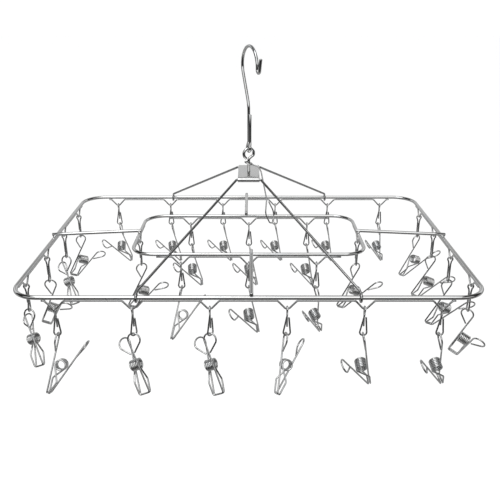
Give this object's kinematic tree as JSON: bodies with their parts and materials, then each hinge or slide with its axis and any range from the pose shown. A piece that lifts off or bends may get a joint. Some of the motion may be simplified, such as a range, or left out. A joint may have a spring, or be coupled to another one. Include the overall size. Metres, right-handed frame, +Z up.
{
  "type": "clip drying hanger",
  "caption": "Rectangular stainless wire drying hanger with a swivel hook, two wire stays, an inner frame and sprung wire clips hung on wire links.",
  "frame": {"origin": "the point under the top of the hook that rests on the rail; the centre of the outer frame is 197.6 mm below it", "axes": "+X along the long sides to the right, +Y to the back, +Z up towards the hook"},
  "size_m": [0.4703, 0.3427, 0.2937],
  "materials": {
    "hook_wire": "polished stainless steel",
    "latch_wire": "polished stainless steel",
    "hub_sheet": "polished stainless steel",
    "stay_wire": "polished stainless steel",
    "frame_rod": "polished stainless steel",
    "dip_wire": "polished stainless steel",
    "bar_rod": "polished stainless steel",
    "link_wire": "polished stainless steel",
    "clip_wire": "polished stainless steel"
  },
  "bodies": {
    "hook": {"hook": "hook_wire"},
    "swivel": {"swivel_eye": "hook_wire"},
    "hub": {"hub_plate": "hub_sheet"},
    "latch": {"wind_latch": "latch_wire"},
    "front_stay": {"front_stay": "stay_wire"},
    "rear_stay": {"rear_stay": "stay_wire"},
    "frame": {"outer_frame": "frame_rod", "outer_dip_wires": "dip_wire", "inner_frame": "frame_rod", "inner_dip_wires": "dip_wire", "side_bars": "bar_rod", "centre_bars": "bar_rod"},
    "front_links": {"front_links": "link_wire"},
    "front_clips": {"front_clips": "clip_wire"},
    "front_jaw_1": {"front_jaw_1": "clip_wire"},
    "front_jaw_2": {"front_jaw_2": "clip_wire"},
    "front_jaw_3": {"front_jaw_3": "clip_wire"},
    "front_jaw_4": {"front_jaw_4": "clip_wire"},
    "front_jaw_5": {"front_jaw_5": "clip_wire"},
    "front_jaw_6": {"front_jaw_6": "clip_wire"},
    "rear_links": {"rear_links": "link_wire"},
    "rear_clips": {"rear_clips": "clip_wire"},
    "rear_jaw_1": {"rear_jaw_1": "clip_wire"},
    "rear_jaw_2": {"rear_jaw_2": "clip_wire"},
    "rear_jaw_3": {"rear_jaw_3": "clip_wire"},
    "rear_jaw_4": {"rear_jaw_4": "clip_wire"},
    "rear_jaw_5": {"rear_jaw_5": "clip_wire"},
    "rear_jaw_6": {"rear_jaw_6": "clip_wire"},
    "left_links": {"left_links": "link_wire"},
    "left_clips": {"left_clips": "clip_wire"},
    "left_jaw_1": {"left_jaw_1": "clip_wire"},
    "left_jaw_2": {"left_jaw_2": "clip_wire"},
    "left_jaw_3": {"left_jaw_3": "clip_wire"},
    "left_jaw_4": {"left_jaw_4": "clip_wire"},
    "right_links": {"right_links": "link_wire"},
    "right_clips": {"right_clips": "clip_wire"},
    "right_jaw_1": {"right_jaw_1": "clip_wire"},
    "right_jaw_2": {"right_jaw_2": "clip_wire"},
    "right_jaw_3": {"right_jaw_3": "clip_wire"},
    "right_jaw_4": {"right_jaw_4": "clip_wire"},
    "in_front_links": {"in_front_links": "link_wire"},
    "in_front_clips": {"in_front_clips": "clip_wire"},
    "in_front_jaw_1": {"in_front_jaw_1": "clip_wire"},
    "in_front_jaw_2": {"in_front_jaw_2": "clip_wire"},
    "in_front_jaw_3": {"in_front_jaw_3": "clip_wire"},
    "in_rear_links": {"in_rear_links": "link_wire"},
    "in_rear_clips": {"in_rear_clips": "clip_wire"},
    "in_rear_jaw_1": {"in_rear_jaw_1": "clip_wire"},
    "in_rear_jaw_2": {"in_rear_jaw_2": "clip_wire"},
    "in_rear_jaw_3": {"in_rear_jaw_3": "clip_wire"},
    "in_left_links": {"in_left_links": "link_wire"},
    "in_left_clips": {"in_left_clips": "clip_wire"},
    "in_left_jaw_1": {"in_left_jaw_1": "clip_wire"},
    "in_right_links": {"in_right_links": "link_wire"},
    "in_right_clips": {"in_right_clips": "clip_wire"},
    "in_right_jaw_1": {"in_right_jaw_1": "clip_wire"}
  },
  "joints": [
    {"name": "hook_swing", "type": "hinge", "parent": "hook", "child": "swivel", "pos_m": [-0.00098, 0.0023, -0.09958], "axis": [0.9205, 0.3907, 0], "range_deg": [-20, 20]},
    {"name": "hub_turn", "type": "hinge", "parent": "swivel", "child": "hub", "pos_m": [-0.00098, 0.0023, -0.12458], "axis": [0, 0, 1], "continuous": true},
    {"name": "latch_lift", "type": "hinge", "parent": "hub", "child": "latch", "pos_m": [-0.00098, 0.0023, -0.11508], "axis": [-0.5892, -0.808, 0], "range_deg": [0, 45]},
    {"name": "front_stay_swing", "type": "hinge", "parent": "hub", "child": "front_stay", "pos_m": [-0.00098, -0.0232, -0.12598], "axis": [1, 0, 0], "range_deg": [-5, 5]},
    {"name": "rear_stay_swing", "type": "hinge", "parent": "hub", "child": "rear_stay", "pos_m": [-0.00098, 0.0278, -0.12598], "axis": [1, 0, 0], "range_deg": [-5, 5]},
    {"name": "frame_tilt", "type": "hinge", "parent": "front_stay", "child": "frame", "pos_m": [-0.00098, -0.1477, -0.19758], "axis": [1, 0, 0], "range_deg": [-0.85, 0.85]},
    {"name": "front_link_swing", "type": "hinge", "parent": "frame", "child": "front_links", "pos_m": [-0.00098, -0.1477, -0.20811], "axis": [1, 0, 0], "range_deg": [-12, 12]},
    {"name": "front_clip_swing", "type": "hinge", "parent": "front_links", "child": "front_clips", "pos_m": [-0.00098, -0.1477, -0.23461], "axis": [1, 0, 0], "range_deg": [-12, 12]},
    {"name": "front_jaw_1_open", "type": "hinge", "parent": "front_clips", "child": "front_jaw_1", "pos_m": [-0.17098, -0.1477, -0.26493], "axis": [0.0318, -0.9099, 0.4136], "range_deg": [0, 32], "stiffness_Nm_per_rad": 0.01},
    {"name": "front_jaw_2_open", "type": "hinge", "parent": "front_clips", "child": "front_jaw_2", "pos_m": [-0.10298, -0.1477, -0.26493], "axis": [0.9016, -0.1267, 0.4136], "range_deg": [0, 32], "stiffness_Nm_per_rad": 0.01},
    {"name": "front_jaw_3_open", "type": "hinge", "parent": "front_clips", "child": "front_jaw_3", "pos_m": [-0.03498, -0.1477, -0.26493], "axis": [0.8834, -0.2203, 0.4136], "range_deg": [0, 32], "stiffness_Nm_per_rad": 0.01},
    {"name": "front_jaw_4_open", "type": "hinge", "parent": "front_clips", "child": "front_jaw_4", "pos_m": [0.03302, -0.1477, -0.26493], "axis": [0.2203, -0.8834, 0.4136], "range_deg": [0, 32], "stiffness_Nm_per_rad": 0.01},
    {"name": "front_jaw_5_open", "type": "hinge", "parent": "front_clips", "child": "front_jaw_5", "pos_m": [0.10102, -0.1477, -0.26493], "axis": [-0.0635, 0.9083, 0.4136], "range_deg": [0, 32], "stiffness_Nm_per_rad": 0.01},
    {"name": "front_jaw_6_open", "type": "hinge", "parent": "front_clips", "child": "front_jaw_6", "pos_m": [0.16902, -0.1477, -0.26493], "axis": [-0.1267, 0.9016, 0.4136], "range_deg": [0, 32], "stiffness_Nm_per_rad": 0.01},
    {"name": "rear_link_swing", "type": "hinge", "parent": "frame", "child": "rear_links", "pos_m": [-0.00098, 0.1523, -0.20811], "axis": [1, 0, 0], "range_deg": [-12, 12]},
    {"name": "rear_clip_swing", "type": "hinge", "parent": "rear_links", "child": "rear_clips", "pos_m": [-0.00098, 0.1523, -0.23461], "axis": [1, 0, 0], "range_deg": [-12, 12]},
    {"name": "rear_jaw_1_open", "type": "hinge", "parent": "rear_clips", "child": "rear_jaw_1", "pos_m": [-0.17098, 0.1523, -0.26493], "axis": [-0.0952, 0.9055, 0.4136], "range_deg": [0, 32], "stiffness_Nm_per_rad": 0.01},
    {"name": "rear_jaw_2_open", "type": "hinge", "parent": "rear_clips", "child": "rear_jaw_2", "pos_m": [-0.10298, 0.1523, -0.26493], "axis": [-0.1581, 0.8966, 0.4136], "range_deg": [0, 32], "stiffness_Nm_per_rad": 0.01},
    {"name": "rear_jaw_3_open", "type": "hinge", "parent": "rear_clips", "child": "rear_jaw_3", "pos_m": [-0.03498, 0.1523, -0.26493], "axis": [-0.1267, 0.9016, 0.4136], "range_deg": [0, 32], "stiffness_Nm_per_rad": 0.01},
    {"name": "rear_jaw_4_open", "type": "hinge", "parent": "rear_clips", "child": "rear_jaw_4", "pos_m": [0.03302, 0.1523, -0.26493], "axis": [-0.1581, 0.8966, 0.4136], "range_deg": [0, 32], "stiffness_Nm_per_rad": 0.01},
    {"name": "rear_jaw_5_open", "type": "hinge", "parent": "rear_clips", "child": "rear_jaw_5", "pos_m": [0.10102, 0.1523, -0.26493], "axis": [-0.0952, 0.9055, 0.4136], "range_deg": [0, 32], "stiffness_Nm_per_rad": 0.01},
    {"name": "rear_jaw_6_open", "type": "hinge", "parent": "rear_clips", "child": "rear_jaw_6", "pos_m": [0.16902, 0.1523, -0.26493], "axis": [-0.1581, 0.8966, 0.4136], "range_deg": [0, 32], "stiffness_Nm_per_rad": 0.01},
    {"name": "left_link_swing", "type": "hinge", "parent": "frame", "child": "left_links", "pos_m": [-0.21098, 0.0023, -0.20811], "axis": [0, 1, 0], "range_deg": [-12, 12]},
    {"name": "left_clip_swing", "type": "hinge", "parent": "left_links", "child": "left_clips", "pos_m": [-0.21098, 0.0023, -0.23461], "axis": [0, 1, 0], "range_deg": [-12, 12]},
    {"name": "left_jaw_1_open", "type": "hinge", "parent": "left_clips", "child": "left_jaw_1", "pos_m": [-0.21098, -0.0997, -0.26493], "axis": [0.8834, -0.2203, 0.4136], "range_deg": [0, 32], "stiffness_Nm_per_rad": 0.01},
    {"name": "left_jaw_2_open", "type": "hinge", "parent": "left_clips", "child": "left_jaw_2", "pos_m": [-0.21098, -0.0317, -0.26493], "axis": [-0.8966, -0.1581, 0.4136], "range_deg": [0, 32], "stiffness_Nm_per_rad": 0.01},
    {"name": "left_jaw_3_open", "type": "hinge", "parent": "left_clips", "child": "left_jaw_3", "pos_m": [-0.21098, 0.0363, -0.26493], "axis": [0.8966, -0.1581, 0.4136], "range_deg": [0, 32], "stiffness_Nm_per_rad": 0.01},
    {"name": "left_jaw_4_open", "type": "hinge", "parent": "left_clips", "child": "left_jaw_4", "pos_m": [-0.21098, 0.1043, -0.26493], "axis": [-0.7458, -0.5222, 0.4136], "range_deg": [0, 32], "stiffness_Nm_per_rad": 0.01},
    {"name": "right_link_swing", "type": "hinge", "parent": "frame", "child": "right_links", "pos_m": [0.20902, 0.0023, -0.20811], "axis": [0, 1, 0], "range_deg": [-12, 12]},
    {"name": "right_clip_swing", "type": "hinge", "parent": "right_links", "child": "right_clips", "pos_m": [0.20902, 0.0023, -0.23461], "axis": [0, 1, 0], "range_deg": [-12, 12]},
    {"name": "right_jaw_1_open", "type": "hinge", "parent": "right_clips", "child": "right_jaw_1", "pos_m": [0.20902, -0.0997, -0.26493], "axis": [-0.8039, 0.4274, 0.4136], "range_deg": [0, 32], "stiffness_Nm_per_rad": 0.01},
    {"name": "right_jaw_2_open", "type": "hinge", "parent": "right_clips", "child": "right_jaw_2", "pos_m": [0.20902, -0.0317, -0.26493], "axis": [-0.8659, -0.2814, 0.4136], "range_deg": [0, 32], "stiffness_Nm_per_rad": 0.01},
    {"name": "right_jaw_3_open", "type": "hinge", "parent": "right_clips", "child": "right_jaw_3", "pos_m": [0.20902, 0.0363, -0.26493], "axis": [-0.8966, -0.1581, 0.4136], "range_deg": [0, 32], "stiffness_Nm_per_rad": 0.01},
    {"name": "right_jaw_4_open", "type": "hinge", "parent": "right_clips", "child": "right_jaw_4", "pos_m": [0.20902, 0.1043, -0.26493], "axis": [-0.7175, -0.5605, 0.4136], "range_deg": [0, 32], "stiffness_Nm_per_rad": 0.01},
    {"name": "in_front_link_swing", "type": "hinge", "parent": "frame", "child": "in_front_links", "pos_m": [-0.00098, -0.0577, -0.20336], "axis": [1, 0, 0], "range_deg": [-12, 12]},
    {"name": "in_front_clip_swing", "type": "hinge", "parent": "in_front_links", "child": "in_front_clips", "pos_m": [-0.00098, -0.0577, -0.22986], "axis": [1, 0, 0], "range_deg": [-12, 12]},
    {"name": "in_front_jaw_1_open", "type": "hinge", "parent": "in_front_clips", "child": "in_front_jaw_1", "pos_m": [-0.06898, -0.0577, -0.26018], "axis": [0, -0.9105, 0.4136], "range_deg": [0, 32], "stiffness_Nm_per_rad": 0.01},
    {"name": "in_front_jaw_2_open", "type": "hinge", "parent": "in_front_clips", "child": "in_front_jaw_2", "pos_m": [-0.00098, -0.0577, -0.26018], "axis": [-0.1267, 0.9016, 0.4136], "range_deg": [0, 32], "stiffness_Nm_per_rad": 0.01},
    {"name": "in_front_jaw_3_open", "type": "hinge", "parent": "in_front_clips", "child": "in_front_jaw_3", "pos_m": [0.06702, -0.0577, -0.26018], "axis": [-0.3411, 0.8442, 0.4136], "range_deg": [0, 32], "stiffness_Nm_per_rad": 0.01},
    {"name": "in_rear_link_swing", "type": "hinge", "parent": "frame", "child": "in_rear_links", "pos_m": [-0.00098, 0.0623, -0.20336], "axis": [1, 0, 0], "range_deg": [-12, 12]},
    {"name": "in_rear_clip_swing", "type": "hinge", "parent": "in_rear_links", "child": "in_rear_clips", "pos_m": [-0.00098, 0.0623, -0.22986], "axis": [1, 0, 0], "range_deg": [-12, 12]},
    {"name": "in_rear_jaw_1_open", "type": "hinge", "parent": "in_rear_clips", "child": "in_rear_jaw_1", "pos_m": [-0.06898, 0.0623, -0.26018], "axis": [-0.0952, 0.9055, 0.4136], "range_deg": [0, 32], "stiffness_Nm_per_rad": 0.01},
    {"name": "in_rear_jaw_2_open", "type": "hinge", "parent": "in_rear_clips", "child": "in_rear_jaw_2", "pos_m": [-0.00098, 0.0623, -0.26018], "axis": [-0.1581, 0.8966, 0.4136], "range_deg": [0, 32], "stiffness_Nm_per_rad": 0.01},
    {"name": "in_rear_jaw_3_open", "type": "hinge", "parent": "in_rear_clips", "child": "in_rear_jaw_3", "pos_m": [0.06702, 0.0623, -0.26018], "axis": [-0.1267, 0.9016, 0.4136], "range_deg": [0, 32], "stiffness_Nm_per_rad": 0.01},
    {"name": "in_left_link_swing", "type": "hinge", "parent": "frame", "child": "in_left_links", "pos_m": [-0.11898, 0.0023, -0.20336], "axis": [0, 1, 0], "range_deg": [-12, 12]},
    {"name": "in_left_clip_swing", "type": "hinge", "parent": "in_left_links", "child": "in_left_clips", "pos_m": [-0.11898, 0.0023, -0.22986], "axis": [0, 1, 0], "range_deg": [-12, 12]},
    {"name": "in_left_jaw_1_open", "type": "hinge", "parent": "in_left_clips", "child": "in_left_jaw_1", "pos_m": [-0.11898, 0.0023, -0.26018], "axis": [-0.7885, -0.4552, 0.4136], "range_deg": [0, 32], "stiffness_Nm_per_rad": 0.01},
    {"name": "in_right_link_swing", "type": "hinge", "parent": "frame", "child": "in_right_links", "pos_m": [0.11702, 0.0023, -0.20336], "axis": [0, 1, 0], "range_deg": [-12, 12]},
    {"name": "in_right_clip_swing", "type": "hinge", "parent": "in_right_links", "child": "in_right_clips", "pos_m": [0.11702, 0.0023, -0.22986], "axis": [0, 1, 0], "range_deg": [-12, 12]},
    {"name": "in_right_jaw_1_open", "type": "hinge", "parent": "in_right_clips", "child": "in_right_jaw_1", "pos_m": [0.11702, 0.0023, -0.26018], "axis": [-0.7721, -0.4825, 0.4136], "range_deg": [0, 32], "stiffness_Nm_per_rad": 0.01}
  ],
  "couplings": [
    {"joint": "rear_stay_swing", "follows": "front_stay_swing", "ratio": 1},
    {"joint": "frame_tilt", "follows": "front_stay_swing", "ratio": -0.17}
  ]
}
